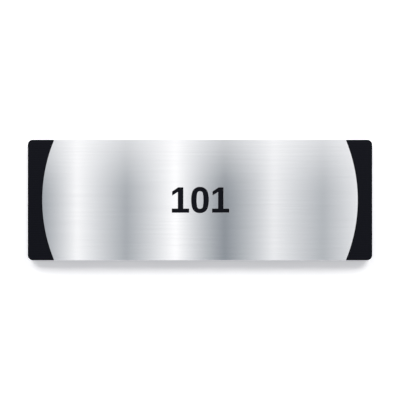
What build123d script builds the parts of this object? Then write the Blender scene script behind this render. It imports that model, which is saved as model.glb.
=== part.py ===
"""Door number plate, engraved from two-ply laminate, with foam tape on its back.

The plate is one sheet of black plastic with a thin face of brushed silver metal. Engraving takes the
face off both short ends, along arcs about the plate's centre, and off the figures of the number, and
goes a little way into the black below it. The plate has no holes, so foam tape holds it to the door.

Frame: +X to the reader's right, +Z up, and the face looks along -Y. The origin is the middle of the
plate, on the door's surface. All sizes are in millimetres.
"""

import os

from build123d import *

# Plate
plate_width = 200.0
plate_height = 70.0
corner_radius = 3.0
end_margin = 8.4  # black at the middle of each short end, outside the arc

# Laminate
core_thickness = 2.9
face_thickness = 0.3
engraving_bite = 0.1  # how far the engraving goes into the core
edge_break = 0.08  # small bevel that the cutter leaves round the face

# Number
figure_height = 14.7
figure_pitch = 11.7
upright_stroke = 3.12

# Figure one, with its flag to the left and a foot bar
foot_width = 10.0
foot_height = 2.35
foot_shift = 0.35  # the foot stands this far right of the middle of its place
stem_shift = 0.07  # and the stem this far right of the middle of the foot
flag_inset = 0.2  # tip of the flag, in from the left end of the foot
flag_drop = 2.45  # top of the tip, below the top of the figure
flag_tip = 2.3  # height of the tip
flag_root = 2.65  # underside of the flag at the stem, below the top of the figure
flag_corner = 0.2  # top of the flag's slope, in from the left side of the stem

# Figure nought
nought_width = 10.3
nought_overshoot = 0.25  # round figures stand this much above and below straight ones
nought_crown = 2.53  # stroke at the top and the bottom
nought_flat = 0.5  # level stretch at the middle of the crown, outside and inside
nought_swell = 0.36  # how far the sides stand out beyond the shoulders

# Foam tape
tape_width = 25.0
tape_thickness = 1.0
tape_inset = 5.0  # from the long edges
tape_end_inset = 10.0  # from the short ends

# Planes, from the door outwards
door_plane = Plane.XZ
core_plane = door_plane.offset(tape_thickness)
engraved_plane = core_plane.offset(core_thickness - engraving_bite)
face_plane = core_plane.offset(core_thickness)

arc_radius = plate_width / 2 - end_margin


def oval(width, height):
    """Draw an oval: a slim barrel with level ends, rounded out by the radius of the shoulders."""
    half_flat = nought_flat / 2
    shoulder = width / 2 - half_flat - nought_swell
    barrel_top = height / 2 - shoulder
    with BuildSketch() as outline:
        with BuildLine():
            Line((0, -barrel_top), (half_flat, -barrel_top))
            ThreePointArc((half_flat, -barrel_top), (half_flat + nought_swell, 0), (half_flat, barrel_top))
            Line((half_flat, barrel_top), (0, barrel_top))
            mirror(about=Plane.YZ)
        make_face()
        offset(amount=shoulder)
    return outline.sketch


# Figure one, about the middle of its place
figure_top = figure_height / 2
figure_base = -figure_height / 2
foot_left = foot_shift - foot_width / 2
foot_right = foot_shift + foot_width / 2
stem_left = foot_shift + stem_shift - upright_stroke / 2
stem_right = foot_shift + stem_shift + upright_stroke / 2
flag_left = foot_left + flag_inset
with BuildSketch() as figure_one:
    with BuildLine():
        Polyline(
            (foot_left, figure_base),
            (foot_right, figure_base),
            (foot_right, figure_base + foot_height),
            (stem_right, figure_base + foot_height),
            (stem_right, figure_top),
            (stem_left + flag_corner, figure_top),
            (flag_left, figure_top - flag_drop),
            (flag_left, figure_top - flag_drop - flag_tip),
            (stem_left, figure_top - flag_root),
            (stem_left, figure_base + foot_height),
            (foot_left, figure_base + foot_height),
            close=True,
        )
    make_face()

# Figure nought, a ring between two ovals
nought_height = figure_height + 2 * nought_overshoot
with BuildSketch() as figure_nought:
    add(oval(nought_width, nought_height))
    add(oval(nought_width - 2 * upright_stroke, nought_height - 2 * nought_crown), mode=Mode.SUBTRACT)

figures = (figure_one, figure_nought, figure_one)  # as they are read, left to right


def silver_field():
    """Draw the face that the engraving leaves: the plate inside the circle, less the number."""
    RectangleRounded(plate_width, plate_height, corner_radius)
    Circle(arc_radius, mode=Mode.INTERSECT)
    for index, figure in enumerate(figures):
        with Locations((figure_pitch * (index - (len(figures) - 1) / 2), 0)):
            add(figure.sketch, mode=Mode.SUBTRACT)


os.makedirs("parts", exist_ok=True)

# Black core: the full sheet, with the land that carries the silver left standing on its front
with BuildPart() as black_core:
    with BuildSketch(core_plane):
        RectangleRounded(plate_width, plate_height, corner_radius)
    extrude(amount=core_thickness - engraving_bite)
    with BuildSketch(engraved_plane):
        silver_field()
    extrude(amount=engraving_bite)
black_core.part.label = "black_core"
export_step(black_core.part, "parts/black_core.step")

# Silver face: the field at the thickness of the ply, its front edges eased
with BuildPart() as silver_face:
    with BuildSketch(face_plane):
        silver_field()
    extrude(amount=face_thickness)
    front = silver_face.faces().filter_by(Axis.Y).group_by(Axis.Y)[0]
    chamfer(front.edges(), edge_break)
silver_face.part.label = "silver_face"
export_step(silver_face.part, "parts/silver_face.step")

# Foam tape: upright strips between the core and the door, one at each end and one in the middle
tape_height = plate_height - 2 * tape_inset
tape_reach = plate_width / 2 - tape_end_inset - tape_width / 2
for tape_name, tape_place in (("tape_left", -tape_reach), ("tape_middle", 0), ("tape_right", tape_reach)):
    with BuildPart() as tape:
        with BuildSketch(door_plane):
            with Locations((tape_place, 0)):
                Rectangle(tape_width, tape_height)
        extrude(amount=tape_thickness)
    tape.part.label = tape_name
    export_step(tape.part, f"parts/{tape_name}.step")
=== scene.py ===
"""Finishes for a door number plate of engraved laminate, and the stage that it is shown on.

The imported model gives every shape: a black core, a silver face with the number cut through it, and three
strips of foam tape. This file gives each of them its material, sets the plate on a white wall, and lights
it as brushed metal is lit in a studio: two soft lamps from above, and a graded card in front of the plate
for the face to reflect.
"""

import math

import bpy
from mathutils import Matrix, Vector


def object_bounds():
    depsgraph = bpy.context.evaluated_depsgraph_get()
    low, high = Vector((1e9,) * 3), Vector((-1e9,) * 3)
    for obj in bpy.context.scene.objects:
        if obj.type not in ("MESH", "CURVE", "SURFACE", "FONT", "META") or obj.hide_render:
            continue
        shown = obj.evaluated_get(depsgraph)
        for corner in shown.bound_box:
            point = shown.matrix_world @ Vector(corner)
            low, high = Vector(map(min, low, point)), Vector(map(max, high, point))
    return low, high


bl_info = {
    "name": "Door Number Plate",
    "version": (1, 0, 0),
    "blender": (4, 5, 0),
    "location": "3D View > Sidebar > Number Plate",
    "description": "Finishes an engraved door number plate and sets it on a white wall",
    "category": "Object",
}

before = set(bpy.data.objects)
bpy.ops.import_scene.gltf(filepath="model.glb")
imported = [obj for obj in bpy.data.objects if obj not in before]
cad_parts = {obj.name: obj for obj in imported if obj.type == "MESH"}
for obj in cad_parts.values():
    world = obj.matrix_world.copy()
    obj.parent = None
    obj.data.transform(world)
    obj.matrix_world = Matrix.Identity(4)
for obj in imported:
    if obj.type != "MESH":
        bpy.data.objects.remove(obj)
cad_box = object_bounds()
plate_width = cad_box[1].x - cad_box[0].x
door_y = cad_box[1].y
face_y = cad_box[0].y

MM = 0.001  # a millimetre, in the metres of the frame
TAPES = ("tape_left", "tape_middle", "tape_right")
UPRIGHT = (math.pi / 2, 0, 0)  # stands a plane or a camera up, to face along Y
FRONT_LIMIT = -0.5  # a surface looks to the front where its normal has less than this along Y
QUARTER_TURN = 0.25  # as a shader counts turns
WAVE_PERIOD = 2 * math.pi / 20  # a wave texture at scale 1 repeats once in this length
WHITE = (1.0, 1.0, 1.0)
DISPLAY_GAMMA = 2.2  # turns a tone, as it looks, into light

# The sRGB curve, straight near black and a power above that
SRGB_FOOT = 0.04045
SRGB_SLOPE = 12.92
SRGB_SHIFT = 0.055
SRGB_POWER = 2.4

# How much the patterns waver, and how many layers of ever finer noise they have
ROW_WAVER = 0.5
ROW_LAYERS = 2.0
GRAIN_LAYERS = 4.0
HAIR_LAYERS = 5.0
HAIR_CRISPNESS = 0.65  # share of each layer that the next finer one keeps

# Sockets of a Mix node, by place, because those of its different data types share their names
MIX_FACTOR = 0
NUMBER_A, NUMBER_B, NUMBER_OUT = 2, 3, 0
COLOUR_A, COLOUR_B, COLOUR_OUT = 6, 7, 2


def linear(hex_colour):
    """Turn an sRGB hex colour such as "#16171C" into linear red, green and blue."""
    channels = [int(hex_colour[i : i + 2], 16) / 255 for i in (1, 3, 5)]
    return tuple(
        c / SRGB_SLOPE if c <= SRGB_FOOT else ((c + SRGB_SHIFT) / (1 + SRGB_SHIFT)) ** SRGB_POWER
        for c in channels
    )


def opaque(rgb):
    """Return a colour as a colour socket takes it, with full opacity."""
    return (*rgb, 1.0)


def colour(name, description, hex_colour):
    """Describe a colour that a user may change."""
    return bpy.props.FloatVectorProperty(
        name=name, description=description, subtype="COLOR", min=0.0, max=1.0, default=linear(hex_colour)
    )


def length(name, description, metres):
    """Describe a length that a user may change."""
    return bpy.props.FloatProperty(
        name=name, description=description, unit="LENGTH", precision=5, min=0.0, default=metres
    )


def share(name, description, value):
    """Describe a value from 0 to 1 that a user may change."""
    return bpy.props.FloatProperty(
        name=name, description=description, subtype="FACTOR", min=0.0, max=1.0, default=value
    )


def level(name, description, value):
    """Describe a strength, with no upper limit, that a user may change."""
    return bpy.props.FloatProperty(name=name, description=description, min=0.0, default=value)


def lamp_power(name, description, watts):
    """Describe the power of a lamp that a user may change."""
    return bpy.props.FloatProperty(
        name=name, description=description, unit="POWER", min=0.0, default=watts
    )


def place(name, description, point):
    """Describe a point in the plate's frame that a user may change."""
    return bpy.props.FloatVectorProperty(
        name=name, description=description, subtype="TRANSLATION", unit="LENGTH", default=point
    )


class PlateFinishes(bpy.types.PropertyGroup):
    """Colours and surface sizes of the plate."""

    core_colour: colour("Core", "Black ABS where the cutter has been", "#0B0C12")
    # The crest colours are painted sheen: the black is lighter on the crests of the cutter's rows and of
    # the skin's grain.
    core_crest_sheen: colour("Core, crests", "The same black on the crests that the cutter leaves", "#0F1016")
    core_skin: colour("Skin", "Black of the sheet's own skin, on its sides and back", "#131418")
    skin_crest_sheen: colour("Skin, crests", "The same black on the crests of its grain", "#26272C")
    core_roughness: share("Core roughness", "How matt the engraved black is", 0.55)
    skin_roughness: share("Skin roughness", "How matt the sheet's own skin is", 0.42)
    core_gloss: share("Core gloss", "Specular level of the black", 0.06)
    cutter_row: length("Cutter rows", "Distance between two rows of the cutter", 1.3 * MM)
    cutter_depth: length("Cutter row depth", "Height of the crests between rows", 0.02 * MM)
    skin_grain: length("Skin grain", "Size of the grain of the sheet's skin", 0.9 * MM)

    silver_colour: colour("Silver", "Bright aluminium of the face", "#F5F5F6")
    # The second silver is painted shade: the face is darker where its hairlines run deepest.
    silver_groove_shade: colour("Silver, scratches", "The same metal where the brushing is deepest", "#E9E9EB")
    silver_roughness: share("Silver roughness", "Mean blur of a reflection in the face", 0.15)
    silver_spread: share("Silver roughness spread", "How much the blur differs between hairlines", 0.03)
    silver_brushing: share("Brushing", "How much more a reflection smears across the hairlines", 1.0)
    hair_length: length("Hairline length", "Length of one stroke of the brushing", 45 * MM)
    hair_width: length("Hairline width", "Distance between hairlines", 0.9 * MM)
    hair_depth: length("Hairline depth", "Depth of the hairlines", 0.004 * MM)

    foam_colour: colour("Foam", "White polyethylene foam of the tape", "#F2F1EE")
    # The second foam colour is painted shade: the foam is darker in the hollows between its cells.
    foam_hollow_shade: colour("Foam, hollows", "The same foam between its cells", "#E2E1DC")
    foam_roughness: share("Foam roughness", "How matt the foam is", 0.75)
    foam_cell: length("Foam cells", "Size of one cell of the foam", 1.2 * MM)
    foam_depth: length("Foam cell depth", "Depth of the hollows between cells", 0.04 * MM)


class StageSettings(bpy.types.PropertyGroup):
    """Camera, wall, card and lamps."""

    lens: bpy.props.FloatProperty(
        name="Lens", description="Focal length of the camera", unit="CAMERA", min=1.0, default=85.0
    )
    view_width: length("View width", "Width of the picture, measured at the face", 232.1 * MM)

    wall_size: length("Wall", "Side of the square of wall that is built", 600 * MM)
    wall_gap: length("Wall gap", "Distance from the tape to the wall", 0.5 * MM)
    wall_paint: share("Wall paint", "Share of light that the white paint gives back", 0.9)
    wall_lift: level("Wall lift", "Light added where the wall is seen, so that it shows as white", 0.39)
    wall_tint: colour("Wall tint", "Colour of that light, which cools the shadow", "#F5F6FC")

    card_distance: length("Card distance", "Distance from the face to the graded card", 60 * MM)
    card_size: length("Card size", "Side of the square card", 2000 * MM)
    card_tones: bpy.props.FloatVectorProperty(
        name="Card tones",
        description="Tones of the card at even steps, from the plate's left end to its right end",
        size=8,
        min=0.0,
        max=1.0,
        default=(0.49, 0.97, 0.66, 1.0, 0.56, 0.92, 0.7, 0.97),
    )
    card_coolness: share("Card coolness", "How blue the dark tones of the card are", 0.05)
    card_strength: level("Card strength", "Brightness of the card where it is white", 1.17)
    card_fade: share("Card fade", "How far the card has faded to white at its top", 0.63)
    card_fade_low: length("Card fade, low", "Height at which the card starts to fade", 9 * MM)
    card_fade_high: length("Card fade, high", "Height at which the card stops fading", 47 * MM)

    key_power: lamp_power("Key lamps", "Power of each of the two lamps above the plate", 26.5)
    key_width: length("Key width", "Width of each key lamp", 0.8)
    key_height: length("Key height", "Height of each key lamp", 1.0)
    key_place: place(
        "Key place", "Middle of the right key lamp, which the left one mirrors", (0.74, -0.485, 1.06)
    )
    fill_power: lamp_power("Fill lamp", "Power of the lamp behind the camera", 1.8)
    fill_place: place("Fill place", "Middle of the fill lamp", (0.0, -1.2, 0.0))
    back_power: lamp_power("Back lamp", "Power of the lamp that lights the plate's back", 14.0)
    back_place: place("Back place", "Middle of the back lamp", (0.0, 1.2, 0.4))
    soft_size: length("Fill and back size", "Side of the fill lamp and of the back lamp", 1.0)
    sky: level("Sky", "Light from all round", 0.16)


def add_node(tree, kind, inputs=(), **settings):
    """Add a node with its settings. Each (input, value) pair sets that input, or links a socket to it."""
    node = tree.nodes.new(kind)
    for name, value in settings.items():
        setattr(node, name, value)
    for key, value in inputs:
        if isinstance(value, bpy.types.NodeSocket):
            tree.links.new(value, node.inputs[key])
        else:
            node.inputs[key].default_value = value
    return node


def new_material(name):
    """Return an empty node material and its tree."""
    material = bpy.data.materials.new(name)
    material.use_nodes = True
    material.node_tree.nodes.clear()
    return material, material.node_tree


def give(node_name, material):
    """Put a material in the slot of a CAD node."""
    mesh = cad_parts[node_name].data
    mesh.materials.clear()
    mesh.materials.append(material)


def engraved_abs(finishes):
    """Black ABS sheet, matt where the cutter has been and satin on its own skin.

    The cutter clears the ends and the figures in level rows, which give the black a faint, even comb.
    Real rows are about 0.4 mm apart, and are drawn wider here, so that they show in the picture. The sides
    and the back keep the grain of the sheet, which is drawn coarser too. The crests of the rows and of the
    grain are painted lighter, as a painted sheen.
    """
    material, tree = new_material("Engraved black ABS")
    where = add_node(tree, "ShaderNodeTexCoord")
    facing = add_node(tree, "ShaderNodeSeparateXYZ", (("Vector", where.outputs["Normal"]),))
    engraved = add_node(
        tree, "ShaderNodeMath", ((0, facing.outputs["Y"]), (1, FRONT_LIMIT)), operation="LESS_THAN"
    )
    rows = add_node(
        tree,
        "ShaderNodeTexWave",
        (
            ("Vector", where.outputs["Object"]),
            ("Scale", WAVE_PERIOD / finishes.cutter_row),
            ("Distortion", ROW_WAVER),
            ("Detail", ROW_LAYERS),
        ),
        wave_type="BANDS",
        bands_direction="Z",
    )
    grain = add_node(
        tree,
        "ShaderNodeTexNoise",
        (
            ("Vector", where.outputs["Object"]),
            ("Scale", 1 / finishes.skin_grain),
            ("Detail", GRAIN_LAYERS),
        ),
    )
    # Painted sheen: the crests of the cutter's rows are a little lighter than the cut black.
    cut = add_node(
        tree,
        "ShaderNodeMix",
        (
            (MIX_FACTOR, rows.outputs["Fac"]),
            (COLOUR_A, opaque(finishes.core_colour)),
            (COLOUR_B, opaque(finishes.core_crest_sheen)),
        ),
        data_type="RGBA",
    )
    # Painted sheen: the crests of the skin's grain are lighter than the skin.
    skin = add_node(
        tree,
        "ShaderNodeMix",
        (
            (MIX_FACTOR, grain.outputs["Fac"]),
            (COLOUR_A, opaque(finishes.core_skin)),
            (COLOUR_B, opaque(finishes.skin_crest_sheen)),
        ),
        data_type="RGBA",
    )
    black = add_node(
        tree,
        "ShaderNodeMix",
        (
            (MIX_FACTOR, engraved.outputs["Value"]),
            (COLOUR_A, skin.outputs[COLOUR_OUT]),
            (COLOUR_B, cut.outputs[COLOUR_OUT]),
        ),
        data_type="RGBA",
    )
    relief = add_node(
        tree,
        "ShaderNodeMix",
        (
            (MIX_FACTOR, engraved.outputs["Value"]),
            (NUMBER_A, grain.outputs["Fac"]),
            (NUMBER_B, rows.outputs["Fac"]),
        ),
        data_type="FLOAT",
    )
    matt = add_node(
        tree,
        "ShaderNodeMapRange",
        (
            ("Value", engraved.outputs["Value"]),
            ("To Min", finishes.skin_roughness),
            ("To Max", finishes.core_roughness),
        ),
    )
    bump = add_node(
        tree,
        "ShaderNodeBump",
        (("Distance", finishes.cutter_depth), ("Height", relief.outputs[NUMBER_OUT])),
    )
    surface = add_node(
        tree,
        "ShaderNodeBsdfPrincipled",
        (
            ("Base Color", black.outputs[COLOUR_OUT]),
            ("Roughness", matt.outputs["Result"]),
            ("Specular IOR Level", finishes.core_gloss),
            ("Normal", bump.outputs["Normal"]),
        ),
    )
    add_node(tree, "ShaderNodeOutputMaterial", (("Surface", surface.outputs["BSDF"]),))
    return material


def brushed_aluminium(finishes):
    """Aluminium brushed along the plate's length.

    The brushing smears reflections upright, so the face shows tall soft bands, and it leaves hairlines
    along the plate. Real hairlines are under 0.1 mm wide, and are drawn wider here, so that they show. The
    deeper hairlines are painted darker, as painted shade.
    """
    material, tree = new_material("Brushed aluminium")
    where = add_node(tree, "ShaderNodeTexCoord")
    stretched = add_node(
        tree,
        "ShaderNodeMapping",
        (
            ("Vector", where.outputs["Object"]),
            ("Scale", (1 / finishes.hair_length, 1 / finishes.hair_width, 1 / finishes.hair_width)),
        ),
    )
    hairs = add_node(
        tree,
        "ShaderNodeTexNoise",
        (
            ("Vector", stretched.outputs["Vector"]),
            ("Scale", 1.0),
            ("Detail", HAIR_LAYERS),
            ("Roughness", HAIR_CRISPNESS),
        ),
    )
    # Painted shade: the metal is darker where the hairlines run deepest.
    metal = add_node(
        tree,
        "ShaderNodeMix",
        (
            (MIX_FACTOR, hairs.outputs["Fac"]),
            (COLOUR_A, opaque(finishes.silver_colour)),
            (COLOUR_B, opaque(finishes.silver_groove_shade)),
        ),
        data_type="RGBA",
    )
    blur = add_node(
        tree,
        "ShaderNodeMapRange",
        (
            ("Value", hairs.outputs["Fac"]),
            ("To Min", finishes.silver_roughness - finishes.silver_spread),
            ("To Max", finishes.silver_roughness + finishes.silver_spread),
        ),
    )
    bump = add_node(
        tree,
        "ShaderNodeBump",
        (("Distance", finishes.hair_depth), ("Height", hairs.outputs["Fac"])),
        invert=True,
    )
    # Round the Z axis, a tangent on the face runs along the plate. A quarter turn makes the smear upright.
    along = add_node(tree, "ShaderNodeTangent", direction_type="RADIAL", axis="Z")
    surface = add_node(
        tree,
        "ShaderNodeBsdfPrincipled",
        (
            ("Base Color", metal.outputs[COLOUR_OUT]),
            ("Metallic", 1.0),
            ("Roughness", blur.outputs["Result"]),
            ("Anisotropic", finishes.silver_brushing),
            ("Anisotropic Rotation", QUARTER_TURN),
            ("Normal", bump.outputs["Normal"]),
            ("Tangent", along.outputs["Tangent"]),
        ),
    )
    add_node(tree, "ShaderNodeOutputMaterial", (("Surface", surface.outputs["BSDF"]),))
    return material


def foam(finishes):
    """White polyethylene foam, matt, with the small closed cells that give its skin a soft pebble.

    Real cells are about 0.4 mm across, and are drawn wider here, so that they show. The hollows between
    the cells are painted darker, as painted shade.
    """
    material, tree = new_material("Polyethylene foam tape")
    where = add_node(tree, "ShaderNodeTexCoord")
    cells = add_node(
        tree,
        "ShaderNodeTexVoronoi",
        (("Vector", where.outputs["Object"]), ("Scale", 1 / finishes.foam_cell)),
        feature="SMOOTH_F1",
    )
    # Painted shade: the foam is darker in the hollows between its cells.
    white = add_node(
        tree,
        "ShaderNodeMix",
        (
            (MIX_FACTOR, cells.outputs["Distance"]),
            (COLOUR_A, opaque(finishes.foam_colour)),
            (COLOUR_B, opaque(finishes.foam_hollow_shade)),
        ),
        data_type="RGBA",
    )
    bump = add_node(
        tree,
        "ShaderNodeBump",
        (("Distance", finishes.foam_depth), ("Height", cells.outputs["Distance"])),
        invert=True,
    )
    surface = add_node(
        tree,
        "ShaderNodeBsdfPrincipled",
        (
            ("Base Color", white.outputs[COLOUR_OUT]),
            ("Roughness", finishes.foam_roughness),
            ("Normal", bump.outputs["Normal"]),
        ),
    )
    add_node(tree, "ShaderNodeOutputMaterial", (("Surface", surface.outputs["BSDF"]),))
    return material


def seen_directly(tree):
    """Return a socket that is 1 for rays from the camera, and for what they meet in metal or in glass."""
    path = add_node(tree, "ShaderNodeLightPath")
    seen = path.outputs["Is Camera Ray"]
    for ray in ("Is Glossy Ray", "Is Transmission Ray"):
        either = add_node(
            tree, "ShaderNodeMath", ((0, seen), (1, path.outputs[ray])), operation="MAXIMUM"
        )
        seen = either.outputs["Value"]
    return seen


def white_wall(stage):
    """White emulsion paint. From behind it is clear, so that the back of the plate can be looked at."""
    material, tree = new_material("White emulsion")
    side = add_node(tree, "ShaderNodeNewGeometry")
    paint = add_node(tree, "ShaderNodeBsdfDiffuse", (("Color", opaque([stage.wall_paint] * 3)),))
    lift = add_node(
        tree, "ShaderNodeMath", ((0, seen_directly(tree)), (1, stage.wall_lift)), operation="MULTIPLY"
    )
    glow = add_node(
        tree,
        "ShaderNodeEmission",
        (("Color", opaque(stage.wall_tint)), ("Strength", lift.outputs["Value"])),
    )
    front = add_node(
        tree, "ShaderNodeAddShader", ((0, paint.outputs["BSDF"]), (1, glow.outputs["Emission"]))
    )
    clear = add_node(tree, "ShaderNodeBsdfTransparent")
    wall = add_node(
        tree,
        "ShaderNodeMixShader",
        ((0, side.outputs["Backfacing"]), (1, front.outputs["Shader"]), (2, clear.outputs["BSDF"])),
    )
    add_node(tree, "ShaderNodeOutputMaterial", (("Surface", wall.outputs["Shader"]),))
    return material


def card_colour(tone, coolness):
    """Return the colour of one tone of the card: the darker it is, the cooler."""
    tint = coolness * (1 - tone)
    return opaque((tone - tint, tone, tone + tint))


def graded_card(stage, run):
    """Card with upright bands of grey and white that grow paler above.

    The run is the width over which its tones pass once. Beyond it they turn and go back.
    """
    material, tree = new_material("Graded light card")
    where = add_node(tree, "ShaderNodeTexCoord")
    axes = add_node(tree, "ShaderNodeSeparateXYZ", (("Vector", where.outputs["Object"]),))
    from_left = add_node(tree, "ShaderNodeMath", ((0, axes.outputs["X"]), (1, run / 2)), operation="ADD")
    folded = add_node(
        tree, "ShaderNodeMath", ((0, from_left.outputs["Value"]), (1, run)), operation="PINGPONG"
    )
    along = add_node(tree, "ShaderNodeMath", ((0, folded.outputs["Value"]), (1, run)), operation="DIVIDE")
    ramp = add_node(tree, "ShaderNodeValToRGB", (("Fac", along.outputs["Value"]),))
    stops = ramp.color_ramp.elements
    last = len(stage.card_tones) - 1
    while len(stops) <= last:
        stops.new(1.0)
    for i, tone in enumerate(stage.card_tones):
        stops[i].position = i / last
        stops[i].color = card_colour(tone, stage.card_coolness)
    light = add_node(
        tree, "ShaderNodeGamma", (("Color", ramp.outputs["Color"]), ("Gamma", DISPLAY_GAMMA))
    )
    fade = add_node(
        tree,
        "ShaderNodeMapRange",
        (
            ("Value", axes.outputs["Z"]),
            ("From Min", stage.card_fade_low),
            ("From Max", stage.card_fade_high),
            ("To Max", stage.card_fade),
        ),
    )
    card = add_node(
        tree,
        "ShaderNodeMix",
        (
            (MIX_FACTOR, fade.outputs["Result"]),
            (COLOUR_A, light.outputs["Color"]),
            (COLOUR_B, opaque(WHITE)),
        ),
        data_type="RGBA",
    )
    glow = add_node(
        tree,
        "ShaderNodeEmission",
        (("Color", card.outputs[COLOUR_OUT]), ("Strength", stage.card_strength)),
    )
    add_node(tree, "ShaderNodeOutputMaterial", (("Surface", glow.outputs["Emission"]),))
    return material


def white_sky(stage):
    """Sky that lights the plate a little from all round, and is plain white where it is seen."""
    world = bpy.data.worlds.new("World")
    world.use_nodes = True
    tree = world.node_tree
    tree.nodes.clear()
    strength = add_node(
        tree,
        "ShaderNodeMapRange",
        (("Value", seen_directly(tree)), ("To Min", stage.sky), ("To Max", 1.0)),
    )
    sky = add_node(
        tree,
        "ShaderNodeBackground",
        (("Color", opaque(WHITE)), ("Strength", strength.outputs["Result"])),
    )
    add_node(tree, "ShaderNodeOutputWorld", (("Surface", sky.outputs["Background"]),))
    return world


def add_camera(stage):
    """Add the scene's camera, square on to the plate, and return its distance from the face."""
    data = bpy.data.cameras.new("Camera")
    data.lens = stage.lens
    camera = bpy.data.objects.new("Camera", data)
    bpy.context.scene.collection.objects.link(camera)
    distance = stage.view_width * stage.lens / data.sensor_width
    camera.location.y = face_y - distance
    camera.rotation_euler = UPRIGHT
    bpy.context.scene.camera = camera
    return distance


def add_lamp(name, watts, size, middle):
    """Add an area lamp that looks at the plate. Neither the camera nor the metal sees it."""
    data = bpy.data.lights.new(name, "AREA")
    data.shape = "RECTANGLE"
    data.size, data.size_y = size
    data.energy = watts
    lamp = bpy.data.objects.new(name, data)
    bpy.context.scene.collection.objects.link(lamp)
    lamp.location = middle
    lamp.rotation_euler = (-Vector(middle)).to_track_quat("-Z", "Y").to_euler()
    lamp.visible_glossy = False
    lamp.visible_camera = False


def add_panel(name, size, y, material):
    """Add an upright square panel to the scene. It casts no shadow and lights no matt surface."""
    bpy.ops.object.select_all(action="DESELECT")
    bpy.ops.mesh.primitive_plane_add(size=size, rotation=UPRIGHT)
    panel = bpy.context.object
    bpy.ops.object.transform_apply(location=True, rotation=True, scale=True)
    panel.name = name
    panel.location.y = y
    panel.data.materials.append(material)
    panel.visible_diffuse = False
    panel.visible_shadow = False
    return panel


class NUMBER_PLATE_OT_finish_core(bpy.types.Operator):
    """Give the black core its engraved ABS"""

    bl_idname = "number_plate.finish_core"
    bl_label = "Finish Black Core"

    def execute(self, context):
        give("black_core", engraved_abs(context.scene.plate_finishes))
        return {"FINISHED"}


class NUMBER_PLATE_OT_finish_face(bpy.types.Operator):
    """Give the silver face its brushed aluminium"""

    bl_idname = "number_plate.finish_face"
    bl_label = "Finish Silver Face"

    def execute(self, context):
        give("silver_face", brushed_aluminium(context.scene.plate_finishes))
        return {"FINISHED"}


class NUMBER_PLATE_OT_finish_tape(bpy.types.Operator):
    """Give the strips of tape their white foam"""

    bl_idname = "number_plate.finish_tape"
    bl_label = "Finish Foam Tape"

    def execute(self, context):
        material = foam(context.scene.plate_finishes)
        for name in TAPES:
            give(name, material)
        return {"FINISHED"}


class NUMBER_PLATE_OT_build_stage(bpy.types.Operator):
    """Set the plate on a white wall, with its card, lamps and camera"""

    bl_idname = "number_plate.build_stage"
    bl_label = "Build Stage"

    def execute(self, context):
        scene = context.scene
        stage = scene.plate_stage
        scene.view_settings.view_transform = "Standard"
        scene.world = white_sky(stage)
        camera_distance = add_camera(stage)
        add_panel("Wall", stage.wall_size, door_y + stage.wall_gap, white_wall(stage))

        # The card's tones pass once from end to end of the plate, as the camera sees them in the face
        run = plate_width * (1 + stage.card_distance / camera_distance)
        card_y = face_y - stage.card_distance
        card = add_panel("LightCard", stage.card_size, card_y, graded_card(stage, run))
        card.visible_camera = False

        key_size = (stage.key_width, stage.key_height)
        key_x, key_y, key_z = stage.key_place
        add_lamp("KeyLeft", stage.key_power, key_size, (-key_x, key_y, key_z))
        add_lamp("KeyRight", stage.key_power, key_size, (key_x, key_y, key_z))
        soft_size = (stage.soft_size, stage.soft_size)
        add_lamp("Fill", stage.fill_power, soft_size, stage.fill_place)
        add_lamp("Back", stage.back_power, soft_size, stage.back_place)
        return {"FINISHED"}


class NUMBER_PLATE_PT_panel(bpy.types.Panel):
    """Finishes and stage of the number plate"""

    bl_idname = "NUMBER_PLATE_PT_panel"
    bl_label = "Number Plate"
    bl_space_type = "VIEW_3D"
    bl_region_type = "UI"
    bl_category = "Number Plate"

    def draw(self, context):
        for settings in (context.scene.plate_finishes, context.scene.plate_stage):
            box = self.layout.box()
            for name in type(settings).__annotations__:
                box.prop(settings, name)
        for operator in OPERATORS:
            self.layout.operator(operator.bl_idname)


OPERATORS = (
    NUMBER_PLATE_OT_finish_core,
    NUMBER_PLATE_OT_finish_face,
    NUMBER_PLATE_OT_finish_tape,
    NUMBER_PLATE_OT_build_stage,
)
CLASSES = (PlateFinishes, StageSettings, *OPERATORS, NUMBER_PLATE_PT_panel)


def register():
    """Register the classes and hang the settings on the scene."""
    for cls in CLASSES:
        bpy.utils.register_class(cls)
    bpy.types.Scene.plate_finishes = bpy.props.PointerProperty(type=PlateFinishes)
    bpy.types.Scene.plate_stage = bpy.props.PointerProperty(type=StageSettings)


def unregister():
    """Take the settings off the scene and unregister the classes."""
    del bpy.types.Scene.plate_stage
    del bpy.types.Scene.plate_finishes
    for cls in reversed(CLASSES):
        bpy.utils.unregister_class(cls)


def main():
    """Run every operator in order."""
    register()
    bpy.ops.number_plate.finish_core()
    bpy.ops.number_plate.finish_face()
    bpy.ops.number_plate.finish_tape()
    bpy.ops.number_plate.build_stage()


if __name__ == "__main__":
    main()
